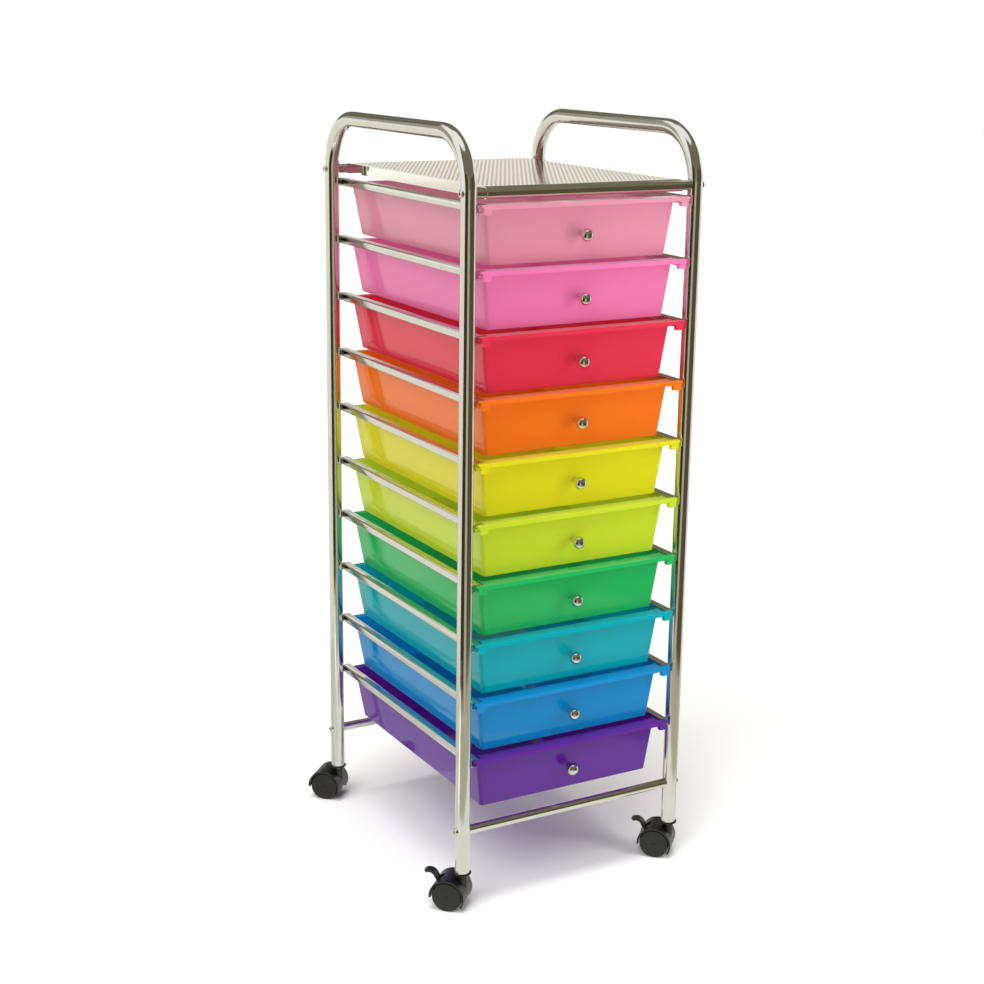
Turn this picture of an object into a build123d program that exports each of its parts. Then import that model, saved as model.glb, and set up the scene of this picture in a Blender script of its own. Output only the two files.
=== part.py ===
from build123d import *
import os
from math import atan2, cos, radians, sin, sqrt

os.makedirs("parts", exist_ok=True)

# Cuts run past a face by this much
overrun = 1

# Fits: a turning or sliding pin in its hole, a pressed or wrapped piece, pieces that only pass
pin_fit = 0.05
press_fit = 0.02
running_gap = 0.3

# Side frames: one bent tube each, a leg, a handle and a leg
frame_width = 334
frame_depth = 392
tube_diameter = 19
tube_wall = 1.2
bend_radius = 65

# Casters: twin wheels under a hood, trailing the stem
caster_heading = 135
caster_height = 48.5
wheel_diameter = 39
wheel_width = 12
wheel_edge = 1.5
wheel_dome = 0.8
wheel_side_gap = 0.5
wheel_well_gap = 1
axle_diameter = 6
axle_end_wall = 2
caster_trail = 15
hood_wall = 2.5
hood_web = 14
hood_hub_diameter = 14
fender_back_angle = -5
fender_front_angle = 212
fender_front_notch = 9
fender_back_notch = 4.5
stem_diameter = 10
stem_boss_wall = 2
stem_depth = 22
stem_insert = 26
stem_collar = 2
socket_flange_diameter = 23
socket_flange = 1.6
socket_length = 30

# Brake lever: a finger tab on a cross pin in the hood's web, placed by shares of the hood's radius
lever_width = 9
lever_thickness = 4.5
lever_boss_diameter = 6.4
lever_side_gap = 0.4
lever_pin_diameter = 3
lever_pin_cover = 0.4
lever_pivot_shares = (0.51, 0.47)
lever_root_shares = (0.80, 0.86)
lever_crown_shares = (1.00, 1.10)
lever_tip_shares = (1.42, 1.07)

# Lower crossbars and the frame's screws
crossbar_diameter = 12
crossbar_wall = 1.2
crossbar_rise = 56.3
crossbar_plug = 20
cope_gap = 0.25
screw_diameter = 6
screw_grip = 14
screw_head_diameter = 11.5
screw_head_height = 3.2
screw_hole_gap = 0.2

# Drawers: trays whose flanges run in channels welded to the legs
drawer_count = 10
tray_length = 386
tray_depth = 73
tray_wall = 2
tray_floor = 2
flange_thickness = 3
front_plate = 2.5
front_drop = 0.8
front_rim = 16.4
rear_rim = 9.6
side_taper = 8.3
front_taper = 5.1
rear_taper = 12
tray_corner = 5
tray_foot_corner = 4.5
tray_foot_round = 1.2
flange_corner = 6
flange_edge_gap = 2
ear_edge_gap = 3
ear_round = 2
lip_height = 5.4
lip_thickness = 2
stop_tab_width = 10
stop_tab_drop = 6.2
drawer_gap = 3.65
under_drawer_gap = 15

# Rails
rail_flange = 11
rail_height = 10
rail_thickness = 1.2
rail_bend = 0.8
rail_overhang = 2.5
rail_wall_gap = 4

# Knobs and their screws
knob_drop = 40
knob_ball_diameter = 16
knob_ball_stand = 14
knob_base_diameter = 10
knob_base_height = 1
knob_neck_diameter = 6.5
knob_neck_rise = 3
knob_bore_depth = 9
knob_screw_diameter = 4
knob_screw_length = 8
knob_screw_head_diameter = 8
knob_screw_head_height = 2.2
knob_screw_hole_gap = 0.2

# Top shelf: a sheet rolled round two cross tubes, its sides turned down
shelf_sheet = 1
shelf_wrap_angle = 210
shelf_edge_gap = 11
shelf_flange = 12
shelf_flange_corner = 10
shelf_flange_setback = 45.5
shelf_clearance = 5.8
shelf_grid_count = 12
shelf_grid_margin = 8
shelf_grid_open_share = 0.55
handle_rise = 67

# Places that follow from the sizes above
tube_radius = tube_diameter / 2
leg_x = frame_width / 2 - tube_radius
leg_y = frame_depth / 2 - tube_radius
leg_inner_x = leg_x - tube_radius
crossbar_z = caster_height + crossbar_rise
drawer_pitch = tray_depth + drawer_gap - front_drop
lowest_rail_z = crossbar_z + crossbar_diameter / 2 + under_drawer_gap + tray_depth
rail_tops = [lowest_rail_z + drawer_pitch * step for step in reversed(range(drawer_count))]
wrap_radius = crossbar_diameter / 2 + press_fit
shelf_tube_z = rail_tops[0] - front_drop + shelf_clearance + shelf_sheet + wrap_radius
handle_z = shelf_tube_z + handle_rise
rail_end_y = leg_y + rail_overhang
leg_corners = [(x, y) for y in (-leg_y, leg_y) for x in (-leg_x, leg_x)]
corner_names = ["front_left", "front_right", "rear_left", "rear_right"]


def save(part, label):
    """Label one finished piece and write its file."""
    part.label = label
    export_step(part, f"parts/{label}.step")


# Left side frame: the tube is bent over a die twice and drilled for four screws
with BuildPart() as left_side_frame:
    with BuildLine():
        bent_path = FilletPolyline(
            (-leg_x, -leg_y, caster_height),
            (-leg_x, -leg_y, handle_z),
            (-leg_x, leg_y, handle_z),
            (-leg_x, leg_y, caster_height),
            radius=bend_radius,
        )
    with BuildSketch(Plane(bent_path @ 0, z_dir=bent_path % 0)):
        Circle(tube_radius)
        Circle(tube_radius - tube_wall, mode=Mode.SUBTRACT)
    sweep()
    with BuildSketch(Plane.YZ.offset(-leg_x)):
        with Locations(*[(y, z) for y in (-leg_y, leg_y) for z in (crossbar_z, shelf_tube_z)]):
            Circle(screw_diameter / 2 + screw_hole_gap)
    extrude(amount=tube_radius + overrun, both=True, mode=Mode.SUBTRACT)
save(left_side_frame.part, "left_side_frame")

# Right side frame: the left one's mirror image
with BuildPart() as right_side_frame:
    mirror(left_side_frame.part, about=Plane.YZ)
save(right_side_frame.part, "right_side_frame")

# Left rails: folded channels on the legs' inner sides, one for each drawer
with BuildPart() as left_rails:
    web_x = -leg_inner_x + rail_thickness / 2
    open_x = -leg_inner_x + rail_flange
    for rail_top in rail_tops:
        upper_z = rail_top - rail_thickness / 2
        lower_z = rail_top - rail_height + rail_thickness / 2
        with BuildSketch(Plane.XZ):
            with BuildLine():
                FilletPolyline(
                    (open_x, upper_z),
                    (web_x, upper_z),
                    (web_x, lower_z),
                    (open_x, lower_z),
                    radius=rail_bend + rail_thickness / 2,
                )
            trace(line_width=rail_thickness)
    extrude(amount=rail_end_y, both=True)
save(left_rails.part, "left_rails")

with BuildPart() as right_rails:
    mirror(left_rails.part, about=Plane.YZ)
save(right_rails.part, "right_rails")


def cross_tube(label, y, z):
    """One tube between the side frames, coped to the legs, its ends plugged and tapped."""
    with BuildPart() as tube:
        with BuildSketch(Plane.YZ.offset(-leg_x)):
            with Locations((y, z)):
                Circle(crossbar_diameter / 2)
        extrude(amount=2 * leg_x)
        with BuildSketch(Plane.YZ):
            with Locations((y, z)):
                Circle(crossbar_diameter / 2 - crossbar_wall)
        extrude(amount=leg_inner_x - crossbar_plug, both=True, mode=Mode.SUBTRACT)
        with BuildSketch(Plane.YZ):
            with Locations((y, z)):
                Circle(screw_diameter / 2 + pin_fit)
        extrude(amount=leg_x, both=True, mode=Mode.SUBTRACT)
        with BuildSketch(Plane.XY.offset(z)):
            with Locations((-leg_x, y), (leg_x, y)):
                Circle(tube_radius + cope_gap)
        extrude(amount=crossbar_diameter, both=True, mode=Mode.SUBTRACT)
    save(tube.part, label)


cross_tube("front_crossbar", -leg_y, crossbar_z)
cross_tube("rear_crossbar", leg_y, crossbar_z)
cross_tube("shelf_front_tube", -leg_y, shelf_tube_z)
cross_tube("shelf_rear_tube", leg_y, shelf_tube_z)

# Frame screws: domed heads outside the legs, shanks through both walls into the tube ends
with BuildPart() as frame_screw:
    with BuildSketch(Plane.XZ):
        with BuildLine():
            head_rim = (0, screw_head_diameter / 2)
            RadiusArc(
                head_rim,
                (-screw_head_height, 0),
                -((screw_head_diameter / 2) ** 2 + screw_head_height**2) / (2 * screw_head_height),
            )
            Polyline(
                (-screw_head_height, 0),
                (tube_diameter + screw_grip, 0),
                (tube_diameter + screw_grip, screw_diameter / 2),
                (0, screw_diameter / 2),
                head_rim,
            )
        make_face()
    revolve(axis=Axis.X)

screw_seat_x = leg_x + tube_radius
with BuildPart() as frame_screws:
    for y in (-leg_y, leg_y):
        for z in (crossbar_z, shelf_tube_z):
            with Locations(Location((-screw_seat_x, y, z)), Location((screw_seat_x, y, z), (0, 0, 180))):
                add(frame_screw.part)
save(frame_screws.part, "frame_screws")

# Top shelf: the sheet's section runs over both tubes and round under them, and its flat is pierced.
# The grid stands for the sheet's fine perforation, which is too small to cut hole by hole
shelf_x = leg_inner_x - shelf_edge_gap
shelf_mid_radius = wrap_radius + shelf_sheet / 2
shelf_top_z = shelf_tube_z + wrap_radius + shelf_sheet
shelf_flange_y = leg_y - shelf_flange_setback
with BuildPart() as top_shelf:
    with BuildSketch(Plane.YZ):
        with BuildLine():
            Line(
                (-leg_y, shelf_tube_z + shelf_mid_radius),
                (leg_y, shelf_tube_z + shelf_mid_radius),
            )
            CenterArc((-leg_y, shelf_tube_z), shelf_mid_radius, 90, shelf_wrap_angle)
            CenterArc((leg_y, shelf_tube_z), shelf_mid_radius, 90, -shelf_wrap_angle)
        trace(line_width=shelf_sheet)
    extrude(amount=shelf_x, both=True)
    for side in (-1, 1):
        with BuildSketch(Plane.YZ.offset(side * shelf_x)) as flange:
            with Locations((0, shelf_top_z)):
                Rectangle(2 * shelf_flange_y, shelf_flange, align=(Align.CENTER, Align.MAX))
            fillet(flange.vertices().group_by(Axis.Y)[0], shelf_flange_corner)
        extrude(amount=-side * shelf_sheet)
    grid_x = 2 * (shelf_x - shelf_grid_margin) / shelf_grid_count
    grid_y = 2 * (leg_y - shelf_grid_margin) / shelf_grid_count
    with BuildSketch(Plane.XY.offset(shelf_top_z)):
        with GridLocations(grid_x, grid_y, shelf_grid_count, shelf_grid_count):
            Rectangle(shelf_grid_open_share * grid_x, shelf_grid_open_share * grid_y)
    extrude(amount=-shelf_sheet, mode=Mode.SUBTRACT)
save(top_shelf.part, "top_shelf")

# Drawer tray: walls drawn in towards the floor, flanges that run in the rails, and a front that
# stands higher, with a plate, ears, a lip and two stops
flange_x = leg_inner_x - flange_edge_gap
ear_x = leg_inner_x - ear_edge_gap
wall_top_x = leg_inner_x - rail_flange - rail_wall_gap
rim_front_y = -frame_depth / 2
rim_rear_y = rim_front_y + tray_length
wall_front_y = rim_front_y + front_rim
wall_rear_y = rim_rear_y - rear_rim
flange_under_z = rail_thickness + running_gap - rail_height
flange_top_z = flange_under_z + flange_thickness
plate_under_z = -front_drop - front_plate
lip_under_z = -front_drop - lip_height
stop_tab_x = leg_inner_x - rail_flange
stop_tab_depth = -rail_end_y - running_gap - rim_front_y
lip_x = ear_x - ear_round
wall_drop = tray_depth + flange_under_z
front_tilt = radians(90) - atan2(wall_drop, front_taper)


def wall_share(z):
    """How far down the walls a height lies, from the flange's underside to the foot."""
    return (flange_under_z - z) / wall_drop


def front_wall_y(z):
    """Where the front wall's outer face stands at a height below the rail's top."""
    return wall_front_y + front_taper * wall_share(z)


knob_seat = (0, front_wall_y(-knob_drop), -knob_drop)
knob_axis = (0, -cos(front_tilt), -sin(front_tilt))
knob_plane = Plane(knob_seat, x_dir=(1, 0, 0), z_dir=knob_axis)
knob_section = Plane(knob_seat, x_dir=(1, 0, 0), z_dir=(0, sin(front_tilt), -cos(front_tilt)))

wall_skins = (
    (0, (-front_drop, -tray_depth), Mode.ADD),
    (tray_wall, (overrun - front_drop, tray_floor - tray_depth), Mode.SUBTRACT),
)
with BuildPart() as tray:
    with BuildSketch(Plane.XY.offset(flange_under_z)) as side_flanges:
        with Locations((0, rim_rear_y)):
            Rectangle(
                2 * flange_x,
                tray_length - stop_tab_depth + overrun,
                align=(Align.CENTER, Align.MAX),
            )
        fillet(side_flanges.vertices().group_by(Axis.Y)[-1], flange_corner)
        with Locations((0, rim_front_y)):
            Rectangle(
                2 * wall_top_x,
                front_rim + tray_wall,
                align=(Align.CENTER, Align.MIN),
                mode=Mode.SUBTRACT,
            )
    extrude(amount=flange_thickness)
    with BuildSketch(Plane.XY.offset(plate_under_z)) as plate:
        with Locations((0, rim_front_y)):
            Rectangle(2 * wall_top_x, front_rim + tray_wall, align=(Align.CENTER, Align.MIN))
            Rectangle(2 * ear_x, stop_tab_depth, align=(Align.CENTER, Align.MIN))
        fillet(plate.vertices().group_by(Axis.Y)[1], ear_round)
        fillet(plate.vertices().group_by(Axis.Y)[0], ear_round)
    extrude(amount=front_plate)
    for inward, heights, mode in wall_skins:
        for z in heights:
            share = wall_share(z)
            half_width = wall_top_x - side_taper * share - inward
            front_y = front_wall_y(z) + inward
            rear_y = wall_rear_y - rear_taper * share - inward
            corner = tray_corner + (tray_foot_corner - tray_corner) * share - inward
            with BuildSketch(Plane.XY.offset(z)):
                with Locations((0, (front_y + rear_y) / 2)):
                    RectangleRounded(2 * half_width, rear_y - front_y, corner)
        loft(ruled=True, mode=mode)
    with BuildSketch(Plane.XY.offset(flange_top_z)):
        with Locations((0, rim_rear_y)):
            Rectangle(
                2 * flange_x,
                rim_rear_y - front_wall_y(flange_top_z) - tray_corner,
                align=(Align.CENTER, Align.MAX),
            )
    extrude(amount=-front_drop - flange_top_z, mode=Mode.SUBTRACT)
    fillet(tray.edges().group_by(Axis.Z)[0], tray_foot_round)
    with BuildSketch(Plane.XY.offset(lip_under_z)):
        with Locations((0, rim_front_y)):
            Rectangle(2 * lip_x, lip_thickness, align=(Align.CENTER, Align.MIN))
    extrude(amount=plate_under_z - lip_under_z)
    with BuildSketch(Plane.XY.offset(lip_under_z - stop_tab_drop)):
        with Locations((-stop_tab_x, rim_front_y), (stop_tab_x, rim_front_y)):
            Rectangle(stop_tab_width, stop_tab_depth, align=(Align.CENTER, Align.MIN))
    extrude(amount=plate_under_z - lip_under_z + stop_tab_drop)
    with BuildSketch(knob_plane):
        Circle(knob_screw_diameter / 2 + knob_screw_hole_gap)
    extrude(amount=tray_wall + overrun, both=True, mode=Mode.SUBTRACT)

# Ball knob: turned in one piece, with a flared foot and a tapped blind hole
ball_radius = knob_ball_diameter / 2
neck_radius = knob_neck_diameter / 2
with BuildPart() as knob:
    with BuildSketch(knob_section):
        with BuildLine():
            neck_top = (neck_radius, knob_ball_stand - sqrt(ball_radius**2 - neck_radius**2))
            ball_front = (0, knob_ball_stand + ball_radius)
            Polyline(
                ball_front,
                (0, 0),
                (knob_base_diameter / 2, 0),
                (knob_base_diameter / 2, knob_base_height),
                (neck_radius, knob_neck_rise),
                neck_top,
            )
            ThreePointArc(neck_top, (ball_radius, knob_ball_stand), ball_front)
        make_face()
    revolve(axis=Axis(knob_seat, knob_axis))
    with BuildSketch(knob_plane):
        Circle(knob_screw_diameter / 2 + pin_fit)
    extrude(amount=knob_bore_depth, mode=Mode.SUBTRACT)

# Knob screw: its head lies against the front wall's inner face
head_seat = knob_plane.offset(-tray_wall * cos(front_tilt))
with BuildPart() as knob_screw:
    with BuildSketch(head_seat):
        Circle(knob_screw_head_diameter / 2)
    extrude(amount=-knob_screw_head_height)
    fillet(knob_screw.edges().sort_by(Axis(knob_seat, knob_axis))[0], knob_screw_head_height / 2)
    with BuildSketch(head_seat):
        Circle(knob_screw_diameter / 2)
    extrude(amount=tray_wall + knob_screw_length)

for number, rail_top in enumerate(rail_tops, start=1):
    on_rail = Location((0, 0, rail_top))
    save(tray.part.moved(on_rail), f"drawer_{number}_tray")
    save(knob.part.moved(on_rail), f"drawer_{number}_knob")
    save(knob_screw.part.moved(on_rail), f"drawer_{number}_screw")

# Caster socket: a sleeve pressed into the leg, its flange under the tube's end
socket_radius = tube_radius - tube_wall - press_fit
stem_bore = stem_diameter / 2 + pin_fit
with BuildPart() as socket:
    with BuildSketch(Plane.XY.offset(caster_height)):
        Circle(socket_radius)
    extrude(amount=socket_length)
    with BuildSketch(Plane.XY.offset(caster_height)):
        Circle(socket_flange_diameter / 2)
    extrude(amount=-socket_flange)
    with BuildSketch(Plane.XY.offset(caster_height - socket_flange)):
        Circle(stem_bore)
    extrude(amount=socket_flange + stem_insert + running_gap, mode=Mode.SUBTRACT)

with BuildPart() as caster_sockets:
    with Locations(*leg_corners):
        add(socket.part)
save(caster_sockets.part, "caster_sockets")

# Caster stem: a pin with a collar, up in the socket and down in the hood
collar_z = caster_height - socket_flange - stem_collar
boss_top_z = collar_z - running_gap
boss_radius = stem_bore + stem_boss_wall
with BuildPart() as stem:
    with BuildSketch(Plane.XY.offset(boss_top_z - stem_depth)):
        Circle(stem_diameter / 2)
    extrude(amount=caster_height + stem_insert - boss_top_z + stem_depth)
    with BuildSketch(Plane.XY.offset(collar_z)):
        Circle(boss_radius)
    extrude(amount=stem_collar)

with BuildPart() as caster_stems:
    with Locations(*leg_corners):
        add(stem.part)
save(caster_stems.part, "caster_stems")

# Caster hood: a drum's upper part with a web in the middle, wheel wells and the stem's boss
axle_z = wheel_diameter / 2
axle_point = (caster_trail, axle_z)
well_radius = wheel_diameter / 2 + wheel_well_gap
hood_radius = well_radius + hood_wall
hood_half = hood_web / 2 + wheel_side_gap + wheel_width + wheel_side_gap
fender_tips = (
    (fender_front_angle, fender_front_notch, -1),
    (fender_back_angle, fender_back_notch, 1),
)


def on_hood(shares):
    """A point in the hood's middle plane, by shares of its radius from the axle."""
    return (caster_trail + hood_radius * shares[0], axle_z + hood_radius * shares[1])


lever_pivot = on_hood(lever_pivot_shares)
lever_slot_gap = lever_boss_diameter / 2 + lever_side_gap


def caster_hood(braked):
    """The hood, with a slot in its web where a brake lever sits."""
    with BuildPart() as hood:
        with BuildSketch(Plane.XZ):
            with BuildLine():
                fender = CenterArc(
                    axle_point, hood_radius, fender_back_angle, fender_front_angle - fender_back_angle
                )
                Polyline(fender @ 1, axle_point, fender @ 0)
            make_face()
            with Locations(axle_point):
                Circle(hood_hub_diameter / 2)
        extrude(amount=hood_half, both=True)
        for side in (-1, 1):
            with BuildSketch(Plane.XZ.offset(side * hood_web / 2)):
                with Locations(axle_point):
                    Circle(well_radius)
            extrude(amount=side * hood_half, mode=Mode.SUBTRACT)
        for angle, notch, side in fender_tips:
            tip_z = axle_z + hood_radius * sin(radians(angle))
            with BuildSketch(Plane.YZ.offset(caster_trail + side * hood_hub_diameter)):
                Polygon((-hood_half, tip_z), (hood_half, tip_z), (0, tip_z + notch), align=None)
            extrude(amount=side * hood_radius, mode=Mode.SUBTRACT)
        with BuildSketch(Plane.XY.offset(axle_z)):
            Circle(boss_radius)
        extrude(amount=boss_top_z - axle_z)
        with BuildSketch(Plane.XY.offset(boss_top_z)):
            Circle(stem_bore)
        extrude(amount=-stem_depth - running_gap, mode=Mode.SUBTRACT)
        with BuildSketch(Plane.XZ):
            with Locations(axle_point):
                Circle(axle_diameter / 2 + press_fit)
        extrude(amount=hood_half, both=True, mode=Mode.SUBTRACT)
        if braked:
            with BuildSketch(Plane.XZ):
                with Locations((lever_pivot[0] - lever_slot_gap, lever_pivot[1] - lever_slot_gap)):
                    Rectangle(hood_radius, hood_radius, align=Align.MIN)
            extrude(amount=lever_width / 2 + lever_side_gap, both=True, mode=Mode.SUBTRACT)
            with BuildSketch(Plane.XZ):
                with Locations(lever_pivot):
                    Circle(lever_pin_diameter / 2 + pin_fit)
            extrude(amount=hood_web / 2, both=True, mode=Mode.SUBTRACT)
    return hood.part


# Brake lever: a curved tab to press with a toe, moulded with its cross pin
with BuildPart() as brake_lever:
    with BuildSketch(Plane.XZ):
        with BuildLine():
            lever_root = on_hood(lever_root_shares)
            Line(lever_pivot, lever_root)
            ThreePointArc(lever_root, on_hood(lever_crown_shares), on_hood(lever_tip_shares))
        trace(line_width=lever_thickness)
        with Locations(lever_pivot):
            Circle(lever_boss_diameter / 2)
    extrude(amount=lever_width / 2, both=True)
    with BuildSketch(Plane.XZ):
        with Locations(lever_pivot):
            Circle(lever_pin_diameter / 2)
    extrude(amount=hood_web / 2 - lever_pin_cover, both=True)

# Caster wheel: rounded tread, a domed outer face and a blind hole for the axle
wheel_inner_y = hood_web / 2 + wheel_side_gap
wheel_outer_y = wheel_inner_y + wheel_width
wheel_radius = wheel_diameter / 2
axle_half = wheel_outer_y - axle_end_wall - wheel_side_gap
with BuildPart() as wheel:
    with BuildSketch(Plane.XY.offset(axle_z)) as wheel_half:
        with BuildLine():
            face_rim = (caster_trail + wheel_radius, wheel_outer_y - wheel_dome)
            dome_radius = (wheel_radius**2 + wheel_dome**2) / (2 * wheel_dome)
            RadiusArc((caster_trail, wheel_outer_y), face_rim, dome_radius)
            Polyline(
                face_rim,
                (caster_trail + wheel_radius, wheel_inner_y),
                (caster_trail + axle_diameter / 2 + pin_fit, wheel_inner_y),
                (caster_trail + axle_diameter / 2 + pin_fit, wheel_outer_y - axle_end_wall),
                (caster_trail, wheel_outer_y - axle_end_wall),
                (caster_trail, wheel_outer_y),
            )
        make_face()
        fillet(wheel_half.vertices().group_by(Axis.X)[-1], wheel_edge)
    revolve(axis=Axis((caster_trail, 0, axle_z), (0, 1, 0)))

with BuildPart() as axle:
    with BuildSketch(Plane.XZ):
        with Locations(axle_point):
            Circle(axle_diameter / 2)
    extrude(amount=axle_half, both=True)

plain_hood = caster_hood(False)
braked_hood = caster_hood(True)
for corner_name, (x, y) in zip(corner_names, leg_corners):
    braked = corner_name.startswith("front")
    under_leg = Location((x, y, 0), (0, 0, caster_heading))
    save((braked_hood if braked else plain_hood).moved(under_leg), f"{corner_name}_hood")
    save(axle.part.moved(under_leg), f"{corner_name}_axle")
    save(wheel.part.moved(under_leg), f"{corner_name}_wheel_1")
    other_side = Location((2 * caster_trail, 0, 0), (0, 0, 180))
    save(wheel.part.moved(under_leg * other_side), f"{corner_name}_wheel_2")
    if braked:
        save(brake_lever.part.moved(under_leg), f"{corner_name}_brake_lever")
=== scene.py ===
import bmesh
import bpy
from math import atan2, cos, pi, radians, sin, sqrt
from mathutils import Matrix, Vector


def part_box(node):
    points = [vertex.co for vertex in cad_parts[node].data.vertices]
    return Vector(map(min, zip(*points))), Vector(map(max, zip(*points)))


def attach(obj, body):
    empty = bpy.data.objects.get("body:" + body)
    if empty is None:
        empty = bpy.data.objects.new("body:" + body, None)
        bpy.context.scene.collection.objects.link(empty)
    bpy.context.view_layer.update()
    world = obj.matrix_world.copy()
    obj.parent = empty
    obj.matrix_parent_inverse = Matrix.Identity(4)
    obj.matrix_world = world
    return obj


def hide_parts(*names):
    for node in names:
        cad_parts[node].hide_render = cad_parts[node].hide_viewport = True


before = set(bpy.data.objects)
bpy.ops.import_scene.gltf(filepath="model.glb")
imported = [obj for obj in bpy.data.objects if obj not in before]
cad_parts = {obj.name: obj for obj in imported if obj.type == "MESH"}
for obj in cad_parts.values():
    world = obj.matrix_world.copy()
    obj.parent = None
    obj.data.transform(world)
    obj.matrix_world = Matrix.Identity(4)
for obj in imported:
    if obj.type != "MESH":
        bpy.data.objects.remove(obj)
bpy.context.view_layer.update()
bpy.ops.object.select_all(action="DESELECT")

# Side frames
# Each is one length of 19 mm steel tube, bent twice so that leg, handle and leg are one piece.
# It is polished and chrome plated, and stands on the casters that plug into its open ends.
MM = 0.001
same_point = 0.002 * MM
side_low, side_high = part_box("right_side_frame")
tube_radius = (side_high.x - side_low.x) / 2
tube_wall = 1.2 * MM
leg_x = side_high.x - tube_radius
leg_y = side_high.y - tube_radius
leg_foot_z = side_low.z
handle_z = side_high.z - tube_radius
bend_radius = 65 * MM
bend_z = handle_z - bend_radius
bend_y = leg_y - bend_radius
straight_leg = bend_z - leg_foot_z


def begin(name):
    """Name the primitive just added, put its place into its mesh and open it for editing."""
    piece = bpy.context.object
    piece.name = name
    bpy.ops.object.transform_apply(location=True, rotation=True, scale=True)
    bpy.ops.object.mode_set(mode="EDIT")
    bpy.ops.mesh.select_all(action="SELECT")
    return piece


def draw_out(*step):
    """Extrude the selected edges by a step."""
    bpy.ops.mesh.extrude_edges_move(TRANSFORM_OT_translate={"value": step})


def close(piece):
    """Merge the doubles, turn the faces outwards and leave the edit."""
    bpy.ops.mesh.select_mode(type="VERT")
    bpy.ops.mesh.select_all(action="SELECT")
    bpy.ops.mesh.remove_doubles(threshold=same_point)
    bpy.ops.mesh.normals_make_consistent(inside=False)
    bpy.ops.object.mode_set(mode="OBJECT")
    return piece


def only(piece):
    """Make one piece the whole selection."""
    bpy.ops.object.select_all(action="DESELECT")
    piece.select_set(True)
    bpy.context.view_layer.objects.active = piece


def work(piece, kind, **settings):
    """Put one modifier on a piece and apply it."""
    only(piece)
    modifier = piece.modifiers.new(kind, kind)
    for name, value in settings.items():
        setattr(modifier, name, value)
    bpy.ops.object.modifier_apply(modifier=modifier.name)


def smooth(piece, crease=40):
    """Shade a piece smooth up to a crease angle in degrees."""
    only(piece)
    bpy.ops.object.shade_smooth_by_angle(angle=radians(crease))


def copy_of(piece, name, move):
    """A copy of a piece with its own mesh, moved by a matrix."""
    made = bpy.data.objects.new(name, piece.data.copy())
    bpy.context.collection.objects.link(made)
    made.data.transform(move)
    return made


def fit(piece, finish, body, slot, *nodes):
    """Give a finished piece its material and its body, and hide the solids that it stands for; the slot is
    not used.
    """
    piece.data.materials.clear()
    piece.data.materials.append(finish)
    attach(piece, body)
    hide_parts(*nodes)


def colour(hex_value):
    """The linear colour of an sRGB hex value."""
    parts = [int(hex_value[start:start + 2], 16) / 255 for start in (1, 3, 5)]
    return [part / 12.92 if part < 0.04045 else ((part + 0.055) / 1.055) ** 2.4 for part in parts] + [1]


def node(tree, kind, inputs=None, **settings):
    """Add a node, set its properties, and set or link its inputs."""
    made = tree.nodes.new(kind)
    for name, value in settings.items():
        setattr(made, name, value)
    for name, value in (inputs or {}).items():
        if isinstance(value, bpy.types.NodeSocket):
            tree.links.new(value, made.inputs[name])
        else:
            made.inputs[name].default_value = value
    return made


def finish_named(name):
    """A new material with an empty node tree."""
    made = bpy.data.materials.new(name)
    made.use_nodes = True
    made.node_tree.nodes.clear()
    return made


# Chrome plate on polished steel: a clear mirror, faintly warm, with a thin haze where the polishing
# wheel and hands have been, and a slow waviness left by the bending and buffing
chrome = finish_named("chrome_plate")
tree = chrome.node_tree
place = node(tree, "ShaderNodeTexCoord")
haze = node(
    tree,
    "ShaderNodeTexNoise",
    {"Vector": place.outputs["Object"], "Scale": 1 / (24 * MM), "Detail": 5},
)
polish = node(
    tree,
    "ShaderNodeMapRange",
    {"Value": haze.outputs["Fac"], "From Min": 0.35, "From Max": 0.7, "To Min": 0.1, "To Max": 0.18},
)
plate_tone = node(
    tree,
    "ShaderNodeMix",
    {"Factor": haze.outputs["Fac"], 6: colour("#EDEBE4"), 7: colour("#DEDDD8")},
    data_type="RGBA",
)
ripple = node(
    tree,
    "ShaderNodeTexNoise",
    {"Vector": place.outputs["Object"], "Scale": 1 / (55 * MM), "Detail": 1},
)
wavy = node(
    tree,
    "ShaderNodeBump",
    {"Strength": 0.10, "Distance": 0.6 * MM, "Height": ripple.outputs["Fac"]},
)
metal = node(
    tree,
    "ShaderNodeBsdfPrincipled",
    {
        "Base Color": plate_tone.outputs[2],
        "Metallic": 1.0,
        "Roughness": polish.outputs["Result"],
        "Normal": wavy.outputs["Normal"],
    },
)
node(tree, "ShaderNodeOutputMaterial", {"Surface": metal.outputs["BSDF"]})

bpy.ops.mesh.primitive_circle_add(vertices=48, radius=tube_radius, location=(-leg_x, -leg_y, leg_foot_z))
left_tube = begin("left_bent_tube")
for run, bend_at in (((0, 0, straight_leg), -bend_y), ((0, 2 * bend_y, 0), bend_y)):
    draw_out(*run)
    bpy.ops.mesh.spin(steps=24, angle=pi / 2, center=(-leg_x, bend_at, bend_z), axis=(1, 0, 0))
draw_out(0, 0, -straight_leg)
close(left_tube)
work(left_tube, "SOLIDIFY", thickness=tube_wall, offset=-1)
smooth(left_tube)
right_tube = copy_of(left_tube, "right_bent_tube", Matrix.Translation((2 * leg_x, 0, 0)))
fit(left_tube, chrome, "frame", "chrome", "left_side_frame")
fit(right_tube, chrome, "frame", "chrome", "right_side_frame")

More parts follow.
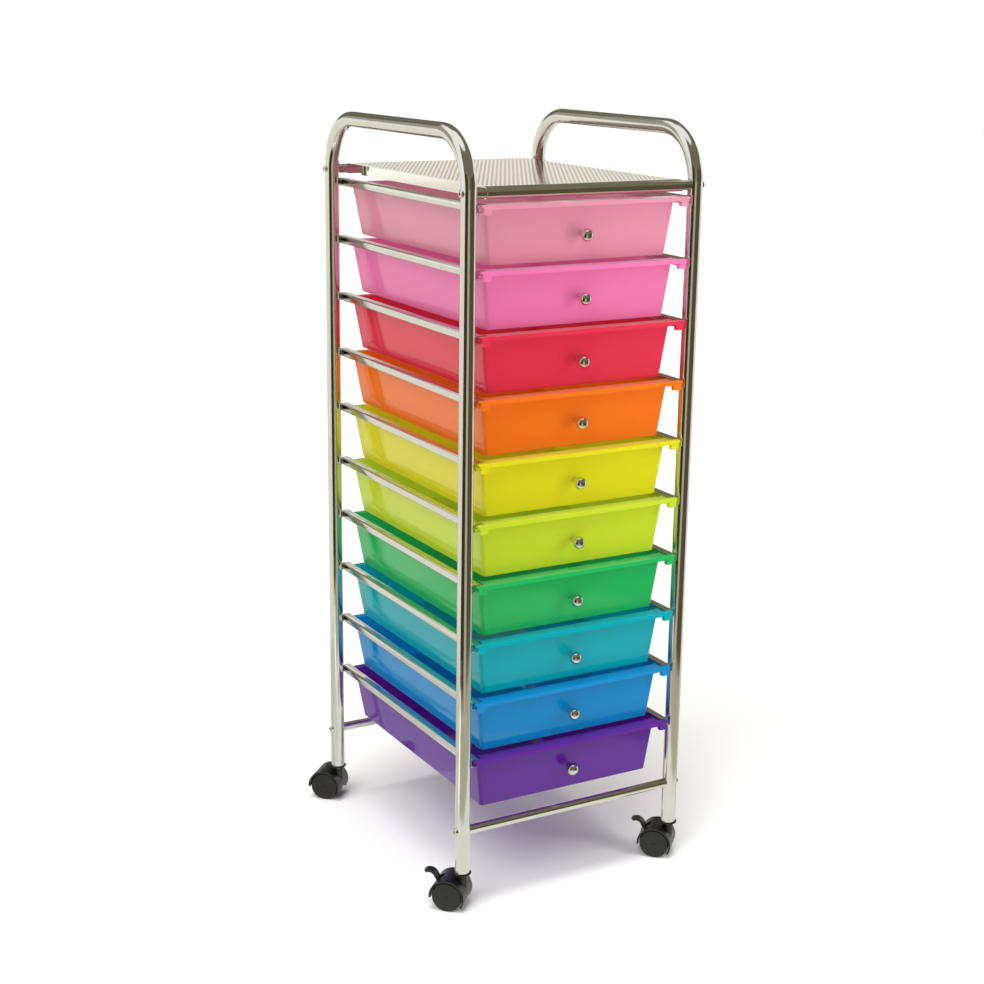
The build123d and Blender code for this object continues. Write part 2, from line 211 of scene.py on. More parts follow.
# Drawer rails
# Twenty channels folded from 1.2 mm steel strip, spot welded to the inner sides of the legs and
# plated with them. A drawer's side flange slides inside each one.
near = 0.1 * MM
drawer_count = 10
top_drawer_z, bottom_drawer_z = (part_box(f"drawer_{number}_tray")[1].z for number in (1, drawer_count))
drawer_pitch = (top_drawer_z - bottom_drawer_z) / (drawer_count - 1)
rails_low, rails_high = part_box("right_rails")
rail_top = rails_high.z
rail_height = 10 * MM
strip = 1.2 * MM
web_x = rails_high.x - strip / 2
fold_inside = 0.8 * MM
rail_edge = 0.3 * MM


def pick(piece, kind, test):
    """Select the corners, edges or faces whose middle passes a test, and nothing else."""
    bpy.ops.mesh.select_mode(type=kind)
    bpy.ops.mesh.select_all(action="DESELECT")
    mesh = bmesh.from_edit_mesh(piece.data)
    for item in {"VERT": mesh.verts, "EDGE": mesh.edges, "FACE": mesh.faces}[kind]:
        corners = [item] if kind == "VERT" else item.verts
        if test(sum((corner.co for corner in corners), Vector()) / len(corners), item):
            item.select_set(True)
    bmesh.update_edit_mesh(piece.data)


def ease(piece, width, crease):
    """Round a piece's edges that are sharper than a crease angle in degrees."""
    work(piece, "BEVEL", width=width, segments=2, limit_method="ANGLE", angle_limit=radians(crease))


def repeat(piece, count, step):
    """Repeat a piece in a row, each copy one step from the last."""
    work(
        piece,
        "ARRAY",
        count=count,
        use_relative_offset=False,
        use_constant_offset=True,
        constant_offset_displace=step,
    )


for name, side in (("left", -1), ("right", 1)):
    bpy.ops.mesh.primitive_plane_add(
        size=1,
        location=(side * web_x, 0, rail_top - rail_height / 2),
        rotation=(0, pi / 2, 0),
    )
    bpy.context.object.scale = (rail_height - strip, rails_high.y - rails_low.y, 1)
    rails = begin(f"{name}_channel_rails")
    pick(rails, "EDGE", lambda at, edge: abs(at.y) < near)
    draw_out(side * (rails_low.x - web_x), 0, 0)
    pick(rails, "EDGE", lambda at, edge: abs(at.x - side * web_x) < near and abs(at.y) < near)
    bpy.ops.mesh.bevel(offset=fold_inside + strip / 2, segments=5)
    close(rails)
    work(rails, "SOLIDIFY", thickness=strip, offset=0)
    ease(rails, rail_edge, 50)
    repeat(rails, drawer_count, (0, 0, -drawer_pitch))
    smooth(rails, 50)
    fit(rails, chrome, "frame", "chrome", f"{name}_rails")

# Cross tubes
# Two lower crossbars and the two tubes in the shelf's rolled edges, 12 mm steel, coped to sit
# against the legs and plugged for the screws. They hold the two side frames apart.
cope_gap = 0.25 * MM
cope_length = 60 * MM


def combine(piece, operation, tool):
    """Cut a tool's shape from a piece or weld it on, and put the tool away."""
    work(piece, "BOOLEAN", operation=operation, object=tool, solver="EXACT")
    bpy.data.objects.remove(tool)


for name, solid in (
    ("front_lower_bar", "front_crossbar"),
    ("rear_lower_bar", "rear_crossbar"),
    ("front_shelf_bar", "shelf_front_tube"),
    ("rear_shelf_bar", "shelf_rear_tube"),
):
    bar_low, bar_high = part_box(solid)
    bar_middle = (bar_low + bar_high) / 2
    bpy.ops.mesh.primitive_cylinder_add(
        vertices=40,
        radius=(bar_high.z - bar_low.z) / 2,
        depth=bar_high.x - bar_low.x,
        location=bar_middle,
        rotation=(0, pi / 2, 0),
    )
    cross_bar = close(begin(name))
    for side in (-1, 1):
        bpy.ops.mesh.primitive_cylinder_add(
            vertices=96,
            radius=tube_radius + cope_gap,
            depth=cope_length,
            location=(side * leg_x, bar_middle.y, bar_middle.z),
        )
        combine(cross_bar, "DIFFERENCE", bpy.context.object)
    smooth(cross_bar)
    fit(cross_bar, chrome, "frame", "chrome", solid)

# Frame screws
# Eight domed socket-head screws, from outside through the legs into the plugged ends of the cross
# tubes. They are plated like the frame.
head_radius = 4.7 * MM
head_height = 2.4 * MM
head_dome = 1.9 * MM
head_sunk = 2 * MM
head_seat_x = leg_x + tube_radius
key_width = 4 * MM
key_depth = 2 * MM
bar_heights = [sum(end.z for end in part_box(solid)) / 2 for solid in ("front_crossbar", "shelf_front_tube")]
bpy.ops.mesh.primitive_cylinder_add(
    vertices=36,
    radius=head_radius,
    depth=head_height + head_sunk,
    location=((head_height - head_sunk) / 2, 0, 0),
    rotation=(0, pi / 2, 0),
)
screw_head = begin("screw_pattern")
pick(screw_head, "FACE", lambda at, face: face.normal.x > 0.9)
bpy.ops.mesh.bevel(offset=head_dome, segments=5, profile=0.5, affect="EDGES")
close(screw_head)
bpy.ops.mesh.primitive_cylinder_add(
    vertices=6,
    radius=key_width / sqrt(3),
    depth=2 * key_depth,
    location=(head_height, 0, 0),
    rotation=(0, pi / 2, 0),
)
combine(screw_head, "DIFFERENCE", bpy.context.object)
smooth(screw_head)
screws = [
    copy_of(
        screw_head,
        "domed_screws",
        Matrix.Translation((side * head_seat_x, end * leg_y, height)) @ Matrix.Rotation(turn, 4, "Z"),
    )
    for side, turn in ((-1, pi), (1, 0))
    for end in (-1, 1)
    for height in bar_heights
]
bpy.data.objects.remove(screw_head)
only(screws[0])
for screw in screws[1:]:
    screw.select_set(True)
bpy.ops.object.join()
fit(screws[0], chrome, "frame", "chrome", "frame_screws")

# Top shelf
# One sheet of 1 mm perforated steel. Its front and rear edges are rolled round the shelf tubes and
# its sides are turned down, with the flanges' corners rounded.
shelf_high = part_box("top_shelf")[1]
shelf_tube_z = bar_heights[1]
sheet = 1 * MM
sheet_z = shelf_high.z - sheet / 2
shelf_side_x = shelf_high.x - sheet / 2
turned_down = 12 * MM
turned_foot_z = sheet_z - turned_down
turned_corner = 10 * MM
turned_set_back = 45.5 * MM
turned_y = leg_y - turned_set_back
roll_angle = radians(210)

# The holes stand in staggered rows, so the field is made of six-sided cells, each with a hole in it
hole_pitch = 6 * MM
hole_radius = 1.7 * MM
cell_radius = hole_pitch / sqrt(3)
row_step = 1.5 * cell_radius
border_share = 0.6
plain_side = 5 * MM
plain_end = 8 * MM
columns = int(2 * (shelf_side_x - plain_side) / hole_pitch - 0.5)
row_pairs = int((leg_y - plain_end) / row_step)
field_x = (columns + 0.5) * hole_pitch / 2
field_y = row_step * row_pairs + cell_radius / 4
first_hole = (hole_pitch / 2 - field_x, cell_radius - field_y, sheet_z)


def on_border(edge):
    """True for an edge of the field of cells, and not for the shorter edges round a hole."""
    return edge.is_boundary and edge.calc_length() > hole_radius


def on_side(at, side):
    """True for a place in the plane of one of the shelf's sides."""
    return abs(at.x - side * shelf_side_x) < near


def on_turned_foot(at, side):
    """True for a place at the foot of one of the turned-down sides."""
    return on_side(at, side) and abs(at.z - turned_foot_z) < near


bpy.ops.mesh.primitive_circle_add(vertices=8, radius=hole_radius, location=first_hole)
shelf = begin("perforated_shelf")
bpy.ops.mesh.primitive_circle_add(vertices=6, radius=cell_radius, location=first_hole)
bpy.ops.mesh.select_all(action="SELECT")
bpy.ops.mesh.bridge_edge_loops()
bpy.ops.object.mode_set(mode="OBJECT")
repeat(shelf, columns, (hole_pitch, 0, 0))
repeat(shelf, 2, (hole_pitch / 2, row_step, 0))
repeat(shelf, row_pairs, (0, 2 * row_step, 0))
bpy.ops.object.mode_set(mode="EDIT")
bpy.ops.mesh.select_all(action="SELECT")
bpy.ops.mesh.remove_doubles(threshold=10 * same_point)

# The field's zigzag borders are drawn out and pressed straight, at the sides first
for side in (-1, 1):
    pick(
        shelf,
        "EDGE",
        lambda at, edge: on_border(edge)
        and side * at.x > field_x - border_share * hole_pitch
        and abs(at.y) < field_y - border_share * cell_radius,
    )
    draw_out(side * plain_side, 0, 0)
    bpy.ops.transform.resize(value=(0, 1, 1), center_override=(side * shelf_side_x, 0, sheet_z))
for end in (-1, 1):
    pick(
        shelf,
        "EDGE",
        lambda at, edge: on_border(edge)
        and end * at.y > field_y - cell_radius
        and abs(edge.verts[0].co.x - edge.verts[1].co.x) > near,
    )
    draw_out(0, end * plain_end, 0)
    bpy.ops.transform.resize(value=(1, 0, 1), center_override=(0, end * leg_y, sheet_z))
    bpy.ops.mesh.spin(
        steps=14,
        angle=-end * roll_angle,
        center=(0, end * leg_y, shelf_tube_z),
        axis=(-1, 0, 0),
    )
for side in (-1, 1):
    pick(
        shelf,
        "EDGE",
        lambda at, edge: edge.is_boundary
        and on_side(at, side)
        and abs(at.y) < turned_y
        and abs(at.z - sheet_z) < near,
    )
    draw_out(0, 0, -turned_down)
    pick(shelf, "FACE", lambda at, face: on_side(at, side))
    bpy.ops.mesh.dissolve_faces()
    feet = [vert.co.y for vert in bmesh.from_edit_mesh(shelf.data).verts if on_turned_foot(vert.co, side)]
    pick(shelf, "VERT", lambda at, vert: on_turned_foot(at, side) and at.y in (min(feet), max(feet)))
    bpy.ops.mesh.bevel(offset=turned_corner, segments=6, affect="VERTICES")
close(shelf)
work(shelf, "SOLIDIFY", thickness=sheet, offset=0)
smooth(shelf, 35)

# Chrome plate on the perforated sheet: plated as it was rolled, so a satin, slightly cloudy mirror
satin_chrome = finish_named("satin_chrome_sheet")
tree = satin_chrome.node_tree
place = node(tree, "ShaderNodeTexCoord")
grey = node(
    tree,
    "ShaderNodeTexNoise",
    {"Vector": place.outputs["Object"], "Scale": 1 / (40 * MM), "Detail": 4},
)
rolled = node(
    tree,
    "ShaderNodeMix",
    {"Factor": grey.outputs["Fac"], 6: colour("#F2F0E8"), 7: colour("#E9E6DC")},
    data_type="RGBA",
)
sheet_metal = node(
    tree,
    "ShaderNodeBsdfPrincipled",
    {"Base Color": rolled.outputs[2], "Metallic": 1.0, "Roughness": 0.06},
)
node(tree, "ShaderNodeOutputMaterial", {"Surface": sheet_metal.outputs["BSDF"]})
fit(shelf, satin_chrome, "frame", "chrome", "top_shelf")

# Walls of the punched holes: dull, with a drawn streak from the punch, and darker than the plated
# sheet as painted shade for the dim insides of the holes
hole_wall_shade = finish_named("hole_wall_painted_shade")
tree = hole_wall_shade.node_tree
place = node(tree, "ShaderNodeTexCoord")
streak = node(
    tree,
    "ShaderNodeTexNoise",
    {"Vector": place.outputs["Object"], "Scale": 1 / (1 * MM), "Detail": 2},
)
shaded_wall_tone = node(
    tree,
    "ShaderNodeMix",
    {"Factor": streak.outputs["Fac"], 6: colour("#BDB7A7"), 7: colour("#CCC6B6")},
    data_type="RGBA",
)
shaded_hole_wall = node(
    tree,
    "ShaderNodeBsdfPrincipled",
    {"Base Color": shaded_wall_tone.outputs[2], "Metallic": 0.3, "Roughness": 0.6},
)
node(tree, "ShaderNodeOutputMaterial", {"Surface": shaded_hole_wall.outputs["BSDF"]})
# The walls of the holes take this painted shade
shelf.data.materials.append(hole_wall_shade)
for face in shelf.data.polygons:
    if abs(face.normal.z) < 0.3 and abs(face.center.x) < field_x and abs(face.center.y) < field_y:
        face.material_index = 1

# Caster sockets and stems
# Each leg's open end takes a moulded nylon sleeve with a flange, and the caster's zinc plated steel
# stem turns in it.
sleeve_edge = 0.4 * MM


def flatten(piece, gap, angle):
    """Merge a piece's doubles within a gap, and its faces that lie flat within an angle in degrees."""
    only(piece)
    bpy.ops.object.mode_set(mode="EDIT")
    bpy.ops.mesh.select_all(action="SELECT")
    bpy.ops.mesh.remove_doubles(threshold=gap)
    bpy.ops.mesh.dissolve_limited(angle_limit=radians(angle))
    bpy.ops.object.mode_set(mode="OBJECT")


def softened(solid, name, width, crease=35):
    """A copy of a solid's mesh with its sharp edges rounded, as a mould leaves them."""
    piece = copy_of(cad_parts[solid], name, Matrix())
    flatten(piece, same_point, 0.5)
    bpy.ops.mesh.customdata_custom_splitnormals_clear()
    ease(piece, width, crease)
    smooth(piece, crease)
    work(piece, "WEIGHTED_NORMAL", keep_sharp=True)
    return piece


def coat_solid(solid, finish):
    """Give a solid that is shown as it is its material."""
    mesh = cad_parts[solid].data
    mesh.materials.clear()
    mesh.materials.append(finish)


# Moulded black nylon: satin, with the fine spark grain of the mould and a little dust-grey scuffing.
# The grain is drawn at 1.5 mm, coarser than the real one, so that it shows
nylon = finish_named("moulded_black_nylon")
tree = nylon.node_tree
place = node(tree, "ShaderNodeTexCoord")
grain = node(
    tree,
    "ShaderNodeTexNoise",
    {"Vector": place.outputs["Object"], "Scale": 1 / (1.5 * MM), "Detail": 2},
)
scuff = node(
    tree,
    "ShaderNodeTexNoise",
    {"Vector": place.outputs["Object"], "Scale": 1 / (14 * MM), "Detail": 6},
)
worn = node(
    tree,
    "ShaderNodeMapRange",
    {"Value": scuff.outputs["Fac"], "From Min": 0.45, "From Max": 0.75},
)
black = node(
    tree,
    "ShaderNodeMix",
    {"Factor": worn.outputs["Result"], 6: colour("#0D0D0D"), 7: colour("#1A1A1A")},
    data_type="RGBA",
)
satin = node(
    tree,
    "ShaderNodeMapRange",
    {"Value": scuff.outputs["Fac"], "From Min": 0.3, "From Max": 0.7, "To Min": 0.28, "To Max": 0.42},
)
pebbled = node(
    tree,
    "ShaderNodeBump",
    {"Strength": 0.15, "Distance": 0.1 * MM, "Height": grain.outputs["Fac"]},
)
moulded = node(
    tree,
    "ShaderNodeBsdfPrincipled",
    {
        "Base Color": black.outputs[2],
        "Roughness": satin.outputs["Result"],
        "IOR": 1.53,
        "Normal": pebbled.outputs["Normal"],
    },
)
node(tree, "ShaderNodeOutputMaterial", {"Surface": moulded.outputs["BSDF"]})

# Zinc plated steel: a grey metal with a soft shine, cloudy where the crystals differ
zinc = finish_named("zinc_plated_steel")
tree = zinc.node_tree
place = node(tree, "ShaderNodeTexCoord")
cloud = node(
    tree,
    "ShaderNodeTexNoise",
    {"Vector": place.outputs["Object"], "Scale": 1 / (6 * MM), "Detail": 4},
)
coat = node(
    tree,
    "ShaderNodeMix",
    {"Factor": cloud.outputs["Fac"], 6: colour("#B4B5B4"), 7: colour("#D2D2CE")},
    data_type="RGBA",
)
soft_shine = node(
    tree,
    "ShaderNodeMapRange",
    {"Value": cloud.outputs["Fac"], "From Min": 0.3, "From Max": 0.7, "To Min": 0.25, "To Max": 0.4},
)
plated = node(
    tree,
    "ShaderNodeBsdfPrincipled",
    {"Base Color": coat.outputs[2], "Metallic": 1.0, "Roughness": soft_shine.outputs["Result"]},
)
node(tree, "ShaderNodeOutputMaterial", {"Surface": plated.outputs["BSDF"]})

sleeves = softened("caster_sockets", "leg_sleeves", sleeve_edge)
fit(sleeves, nylon, "frame", "black_plastic", "caster_sockets")
coat_solid("caster_stems", zinc)

# Drawers
# Ten trays injection moulded in clear tinted plastic: drafted walls, a flange that runs in the rails,
# and a higher front with a plate, ears over the rails' ends, a lip and two stop tabs.
tray_low, tray_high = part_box("drawer_1_tray")
front_y, rear_y = tray_low.y, tray_high.y
foot_z = tray_low.z
front_drop = 0.8 * MM
front_top = rail_top - front_drop
wall = 2 * MM
wall_top_x = 133 * MM
front_rim_depth = 16.4 * MM
rear_rim_depth = 9.6 * MM
wall_front_y = front_y + front_rim_depth
wall_rear_y = rear_y - rear_rim_depth
side_draft, front_draft, rear_draft = 8.3 * MM, 5.1 * MM, 12 * MM
wall_corner = 5 * MM
foot_round = 1.2 * MM
flange_x = tray_high.x
flange_drop = 8.5 * MM
flange_thickness = 3 * MM
flange_corner = 6 * MM
flange_under = rail_top - flange_drop
flange_top = flange_under + flange_thickness
drafted_height = flange_under - foot_z
plate_thickness = 2.5 * MM
plate_edge = 0.7 * MM
plate_under = front_top - plate_thickness
ear_x = 145 * MM
ear_corner = 2 * MM
lip_height = 5.4 * MM
lip_thickness = 2 * MM
lip_under = front_top - lip_height
tab_x = 137 * MM
tab_width = 10 * MM
tab_depth = 6.7 * MM
tab_drop = 6.2 * MM
tab_corner = 1 * MM
tab_under = lip_under - tab_drop
tray_edge = 0.5 * MM
overlap = 1 * MM
hair = 0.01 * MM


def block(name, low, high):
    """A cube with its lowest and highest corners at two places, open for editing."""
    low, high = Vector(low), Vector(high)
    bpy.ops.mesh.primitive_cube_add(size=1, location=(low + high) / 2)
    bpy.context.object.scale = high - low
    return begin(name)


def upright(edge):
    """True for an edge that stands straight up."""
    first, second = (corner.co for corner in edge.verts)
    return abs(first.x - second.x) + abs(first.y - second.y) < hair


def drafted_block(name, inward, low_z, high_z, corner):
    """A block with rounded upright corners, whose walls, set inward, draw in towards the foot."""
    shares = [(flange_under - z) / drafted_height for z in (high_z, low_z)]
    half_x = [wall_top_x - inward - side_draft * share for share in shares]
    front = [wall_front_y + inward + front_draft * share for share in shares]
    rear = [wall_rear_y - inward - rear_draft * share for share in shares]
    middles = [(front[step] + rear[step]) / 2 for step in (0, 1)]
    spans = [rear[step] - front[step] for step in (0, 1)]
    piece = block(name, (-half_x[0], front[0], low_z), (half_x[0], rear[0], high_z))
    pick(piece, "EDGE", lambda at, edge: upright(edge))
    bpy.ops.mesh.bevel(offset=corner, segments=9)
    pick(piece, "VERT", lambda at, vert: at.z < (low_z + high_z) / 2)
    bpy.ops.transform.resize(
        value=(half_x[1] / half_x[0], spans[1] / spans[0], 1),
        center_override=(0, middles[0], low_z),
    )
    bpy.ops.transform.translate(value=(0, middles[1] - middles[0], 0))
    pick(piece, "EDGE", lambda at, edge: max(end.co.z for end in edge.verts) < low_z + hair)
    bpy.ops.mesh.bevel(offset=foot_round, segments=4)
    return close(piece)


def rounded_plate(name, low, high, corner, test):
    """A flat plate with some of its upright corners rounded."""
    piece = block(name, low, high)
    pick(piece, "EDGE", lambda at, edge: upright(edge) and test(at))
    bpy.ops.mesh.bevel(offset=corner, segments=6)
    return close(piece)


tray = drafted_block("tray_pattern", 0, foot_z, front_top, wall_corner)
front_plate = block(
    "front_plate",
    (-ear_x, front_y, plate_under),
    (ear_x, front_y + tab_depth, front_top),
)
pick(front_plate, "EDGE", lambda at, edge: upright(edge))
bpy.ops.mesh.bevel(offset=ear_corner, segments=5)
pick(front_plate, "EDGE", lambda at, edge: at.z > front_top - hair)
bpy.ops.mesh.bevel(offset=plate_edge, segments=3)
combine(tray, "UNION", close(front_plate))
front_rim = block(
    "front_rim",
    (-wall_top_x, front_y + tab_depth - 1.5 * overlap, plate_under),
    (wall_top_x, wall_front_y + wall, front_top),
)
combine(tray, "UNION", close(front_rim))
lip = block(
    "lip",
    (ear_corner - ear_x, front_y, lip_under),
    (ear_x - ear_corner, front_y + lip_thickness, plate_under + overlap),
)
combine(tray, "UNION", close(lip))
flange = rounded_plate(
    "flange",
    (-flange_x, wall_front_y + wall, flange_under),
    (flange_x, rear_y, flange_top),
    flange_corner,
    lambda at: at.y > 0,
)
combine(tray, "UNION", flange)
for side in (-1, 1):
    inner, outer = sorted((side * wall_top_x, side * flange_x))
    flange_end = block(
        "flange_end",
        (inner, front_y + tab_depth - overlap, flange_under),
        (outer, wall_front_y + wall + overlap, flange_top),
    )
    combine(tray, "UNION", close(flange_end))
    stop_tab = rounded_plate(
        "stop_tab",
        (side * tab_x - tab_width / 2, front_y, tab_under),
        (side * tab_x + tab_width / 2, front_y + tab_depth, plate_under + overlap),
        tab_corner,
        lambda at: at.y > front_y + tab_depth / 2,
    )
    combine(tray, "UNION", stop_tab)
low_sides = block(
    "low_sides",
    (-flange_x - overlap, wall_front_y + wall_corner, flange_top),
    (flange_x + overlap, rear_y + overlap, front_top + overlap),
)
combine(tray, "DIFFERENCE", close(low_sides))
hollow = drafted_block("hollow", wall, foot_z + wall, front_top + overlap, wall_corner - wall)
combine(tray, "DIFFERENCE", hollow)
flatten(tray, hair, 0.3)
ease(tray, tray_edge, 40)
smooth(tray, 50)
work(tray, "WEIGHTED_NORMAL", keep_sharp=True)

for number, (tint, hex_value) in enumerate(
    (
        ("rose", "#E69DB5"),
        ("pink", "#EF83BA"),
        ("red", "#E43955"),
        ("orange", "#F27E20"),
        ("yellow", "#E1DD22"),
        ("lime", "#CCDF35"),
        ("green", "#2BBD67"),
        ("teal", "#00B1BD"),
        ("blue", "#0092D1"),
        ("purple", "#65209E"),
    ),
    start=1,
):
    # Clear tinted polypropylene: see-through but cloudy, since its crystals scatter light, with a soft
    # gloss from a polished mould and faint flow marks about 30 mm long. A sheen stands for the pale
    # scatter at its surface, and a faint glow in its own tint is painted light, standing in for the
    # light that its walls pass on
    plastic = finish_named(f"{tint}_clear_polypropylene")
    tree = plastic.node_tree
    place = node(tree, "ShaderNodeTexCoord")
    flow = node(
        tree,
        "ShaderNodeTexNoise",
        {"Vector": place.outputs["Object"], "Scale": 1 / (30 * MM), "Detail": 4},
    )
    frost = node(
        tree,
        "ShaderNodeMapRange",
        {"Value": flow.outputs["Fac"], "From Min": 0.3, "From Max": 0.7, "To Min": 0.05, "To Max": 0.1},
    )
    clear = node(
        tree,
        "ShaderNodeBsdfPrincipled",
        {
            "Base Color": colour(hex_value),
            "Roughness": frost.outputs["Result"],
            "IOR": 1.49,
            "Transmission Weight": 0.35,
            "Sheen Weight": 1.0,
            "Sheen Roughness": 0.22,
            # The emission is a painted glow in the tray's tint, for light that the walls pass on
            "Emission Color": colour(hex_value),
            "Emission Strength": 0.08,
        },
    )
    node(tree, "ShaderNodeOutputMaterial", {"Surface": clear.outputs["BSDF"]})
    lowered = Matrix.Translation((0, 0, -(number - 1) * drawer_pitch))
    drawer_tray = copy_of(tray, f"{tint}_tray", lowered)
    fit(drawer_tray, plastic, f"drawer_{number}", f"{tint}_plastic", f"drawer_{number}_tray")
bpy.data.objects.remove(tray)

# Ball knobs
# Each is turned from steel with a waisted neck and a flared foot, chrome plated, and held by a screw
# from inside the drawer. It stands square to the sloping front wall.
ball_radius = 8 * MM
ball_stand = 14 * MM
neck_radius = 3.25 * MM
neck_z = ball_stand - sqrt(ball_radius**2 - neck_radius**2)
neck_step = 0.2 * MM
neck_foot_z = 3 * MM
flare_radius = 3.4 * MM
flare_z = 1.6 * MM
foot_radius = 3.8 * MM
foot_height = 1 * MM
knob_drop = 40 * MM
front_slope = atan2(front_draft, drafted_height)
seat_z = rail_top - knob_drop
seat_y = wall_front_y + front_draft * (flange_under - seat_z) / drafted_height
bpy.ops.mesh.primitive_uv_sphere_add(
    segments=36,
    ring_count=24,
    radius=ball_radius,
    location=(0, 0, ball_stand),
)
knob = begin("knob_pattern")
pick(knob, "VERT", lambda at, vert: at.z < neck_z)
bpy.ops.mesh.delete(type="VERT")
pick(knob, "EDGE", lambda at, edge: edge.is_boundary)
for radius, height in (
    (neck_radius, neck_z - neck_step),
    (neck_radius, neck_foot_z),
    (flare_radius, flare_z),
    (foot_radius, foot_height),
    (foot_radius, 0),
):
    rim = next(vert.co for vert in bmesh.from_edit_mesh(knob.data).verts if vert.select)
    growth = radius / rim.xy.length
    draw_out(0, 0, height - rim.z)
    bpy.ops.transform.resize(value=(growth, growth, 1), center_override=(0, 0, height))
bpy.ops.mesh.edge_face_add()
close(knob)
smooth(knob, 45)
for number in range(1, drawer_count + 1):
    seat = Matrix.Translation((0, seat_y, seat_z - (number - 1) * drawer_pitch))
    drawer_knob = copy_of(knob, f"ball_knob_{number}", seat @ Matrix.Rotation(pi / 2 + front_slope, 4, "X"))
    fit(drawer_knob, chrome, f"drawer_{number}", "chrome", f"drawer_{number}_knob")
    coat_solid(f"drawer_{number}_screw", zinc)
bpy.data.objects.remove(knob)

# Casters
# Four twin-wheel casters in black nylon: a hood with pointed fenders on a stem, a wheel each side of
# its web on a steel axle, and on the front two a brake lever for the toe.
hood_edge = 0.5 * MM
lever_edge = 0.6 * MM
for corner in ("front_left", "front_right", "rear_left", "rear_right"):
    hood = softened(f"{corner}_hood", f"{corner}_caster_hood", hood_edge)
    fit(hood, nylon, f"{corner}_caster", "black_plastic", f"{corner}_hood")
    coat_solid(f"{corner}_axle", zinc)
    for wheel in (1, 2):
        coat_solid(f"{corner}_wheel_{wheel}", nylon)
for corner in ("front_left", "front_right"):
    lever = softened(f"{corner}_brake_lever", f"{corner}_toe_lever", lever_edge)
    fit(lever, nylon, f"{corner}_brake", "black_plastic", f"{corner}_brake_lever")

# Studio
# A white paper floor under broad soft lights from above and from the left, and a strip light close to
# the right. The metal sees none of the lamps: it mirrors the cards below.
bpy.ops.mesh.primitive_plane_add(size=24, location=(0, 0, 0))
floor = bpy.context.object
floor.name = "paper_floor"

# White paper: matt, with a faint cloudiness from its fibres, drawn at 4 mm so that it shows
paper = finish_named("white_paper")
tree = paper.node_tree
place = node(tree, "ShaderNodeTexCoord")
fibre = node(
    tree,
    "ShaderNodeTexNoise",
    {"Vector": place.outputs["Object"], "Scale": 1 / (4 * MM), "Detail": 3},
)
sheet_white = node(
    tree,
    "ShaderNodeMix",
    {"Factor": fibre.outputs["Fac"], 6: colour("#FAFAF9"), 7: colour("#F5F5F4")},
    data_type="RGBA",
)
matt = node(tree, "ShaderNodeBsdfDiffuse", {"Color": sheet_white.outputs[2]})
node(tree, "ShaderNodeOutputMaterial", {"Surface": matt.outputs["BSDF"]})
floor.data.materials.append(paper)

# A white backdrop for the eye, for mirrors and through the plastic, and a dimmer fill for the rest
world = bpy.data.worlds.new("studio")
bpy.context.scene.world = world
world.use_nodes = True
tree = world.node_tree
tree.nodes.clear()
rays = node(tree, "ShaderNodeLightPath")
eye_or_mirror = node(
    tree,
    "ShaderNodeMath",
    {0: rays.outputs["Is Camera Ray"], 1: rays.outputs["Is Glossy Ray"]},
    operation="MAXIMUM",
)
seen = node(
    tree,
    "ShaderNodeMath",
    {0: eye_or_mirror.outputs[0], 1: rays.outputs["Is Transmission Ray"]},
    operation="MAXIMUM",
)
fill = node(tree, "ShaderNodeBackground", {"Color": colour("#FFF8EA"), "Strength": 0.29})
white = node(tree, "ShaderNodeBackground", {"Color": colour("#FFFFFF"), "Strength": 1.0})
sky = node(tree, "ShaderNodeMixShader", {0: seen.outputs[0], 1: fill.outputs[0], 2: white.outputs[0]})
node(tree, "ShaderNodeOutputWorld", {"Surface": sky.outputs[0]})

# Each broad light's strength, its width and its turn in degrees
for name, energy, width, turn in (
    ("overhead_softbox", 1.6, 28, (3, -3, 0)),
    ("left_softbox", 2.1, 50, (42, 0, -64)),
):
    bpy.ops.object.light_add(type="SUN", rotation=[radians(angle) for angle in turn])
    softbox = bpy.context.object
    softbox.name = name
    softbox.data.energy = energy
    softbox.data.angle = radians(width)
    softbox.visible_glossy = False

# The tall strip light brightens the right ends of the drawers' fronts and throws each knob's shadow
# to the left
bpy.ops.object.light_add(type="AREA", location=(0.55, -0.75, 0.8), rotation=(pi / 2, 0, radians(36)))
strip_light = bpy.context.object
strip_light.name = "right_strip_light"
strip_light.data.shape = "RECTANGLE"
strip_light.data.size = 0.25
strip_light.data.size_y = 0.9
strip_light.data.energy = 3.8
strip_light.visible_camera = False
strip_light.visible_glossy = False
strip_light.visible_transmission = False

# Camera
# It stands where the photograph was taken from, fitted to the legs, handles, knobs and wheels.
image_width = 984
focal_pixels = 1742.9
azimuth, elevation, roll = radians(-29.726), radians(15.039), radians(0.8)
stand = Vector((-1119.92, -1934.41, 1080.02)) * MM
back = Vector((sin(azimuth) * cos(elevation), -cos(azimuth) * cos(elevation), sin(elevation)))
level = (-back).cross(Vector((0, 0, 1))).normalized()
upward = back.cross(level)
right = level * cos(roll) + upward * sin(roll)
top = upward * cos(roll) - level * sin(roll)
lens = bpy.data.cameras.new("photograph")
lens.sensor_width = 36
lens.lens = focal_pixels / image_width * lens.sensor_width
camera = bpy.data.objects.new("photograph", lens)
bpy.context.collection.objects.link(camera)
camera.matrix_world = Matrix.Translation(stand) @ Matrix((right, top, back)).transposed().to_4x4()
bpy.context.scene.camera = camera
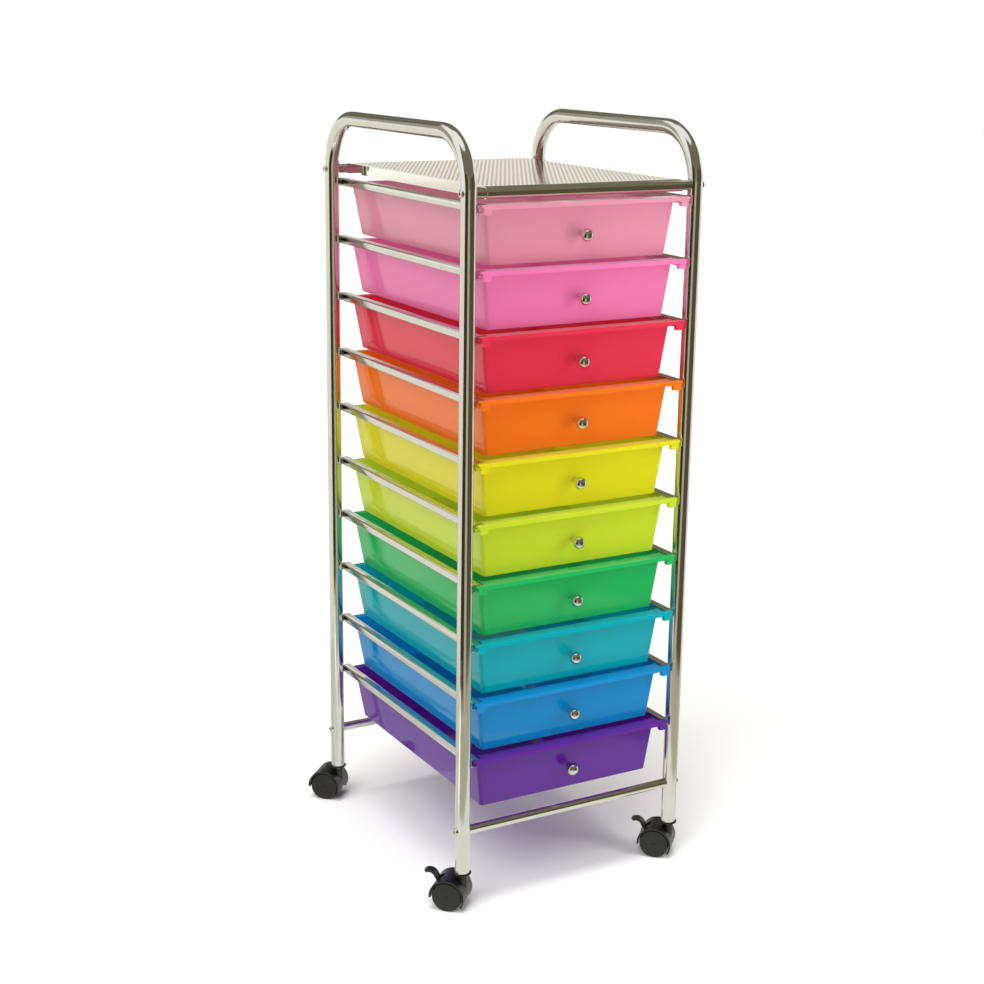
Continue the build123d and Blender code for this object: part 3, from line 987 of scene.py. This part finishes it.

# Mirror cards
# Only mirror rays see them, so their colours are painted reflections. They stand for the paper round
# the cart, greyed as painted shade close to the cart and under it, the dim room beyond and the paler
# backdrop. Each lies between two angles in degrees, from the camera's side round to its right, and
# between two edges, given as a distance from the cart and a height in metres.
toward = Vector((sin(azimuth), -cos(azimuth), 0))
across = Vector((cos(azimuth), sin(azimuth), 0))
for name, hex_value, angles, edges in (
    ("dim_room_left", "#35301F", (-50, -7), ((0.95, 0.002), (40, 0.002))),
    ("lit_aisle", "#BDB59E", (-7, 20), ((0.95, 0.002), (40, 0.002))),
    ("dim_room_right", "#57503C", (20, 90), ((0.95, 0.002), (40, 0.002))),
    ("paper_edge", "#B6B49C", (-34, 90), ((0.5, 0.001), (0.95, 0.001))),
    ("left_wall", "#403B2A", (-50, -7), ((41, 0), (41, 16))),
    ("aisle_wall", "#8F8974", (-7, 20), ((41, 0), (41, 16))),
    ("right_wall", "#57503C", (20, 100), ((41, 0), (41, 16))),
    ("dim_ceiling", "#74705D", (-50, 215), ((41, 16), (6, 14))),
    ("back_wall", "#636154", (165, 226), ((41, 6), (41, 30))),
    ("back_left_wall", "#A3A195", (226, 265), ((41, 6), (41, 30))),
    ("back_haze", "#EFECE1", (150, 265), ((41, 0), (41, 6))),
    ("floor_behind", "#6D6959", (180, 213), ((1.6, 0.002), (3.4, 0.002))),
    ("shaded_paper", "#EEECE2", (90, 310), ((0.9, 0.001), (12, 0.001))),
    # The next two cards are painted shade: the paper near and under the cart, greyed as the metal mirrors it
    ("shaded_near_paper", "#D2D2C9", (90, 310), ((0.25, 0.001), (0.9, 0.001))),
    ("shaded_paper_in_front", "#ECEEE4", (-90, 90), ((0.02, 0.001), (0.5, 0.001))),
):
    bpy.ops.mesh.primitive_grid_add(x_subdivisions=16, y_subdivisions=1, size=1)
    card = close(begin(name))
    for vert in card.data.vertices:
        turn = radians(angles[0] + (angles[1] - angles[0]) * (vert.co.x + 0.5))
        distance, height = edges[int(vert.co.y > 0)]
        vert.co = (toward * cos(turn) + across * sin(turn)) * distance + Vector((0, 0, height))
    card_finish = finish_named(name)
    tree = card_finish.node_tree
    glow = node(tree, "ShaderNodeEmission", {"Color": colour(hex_value), "Strength": 1.0})
    node(tree, "ShaderNodeOutputMaterial", {"Surface": glow.outputs[0]})
    card.data.materials.append(card_finish)
    card.visible_camera = False
    card.visible_diffuse = False
    card.visible_transmission = False
    card.visible_volume_scatter = False
    card.visible_shadow = False

bpy.context.scene.view_settings.view_transform = "Standard"
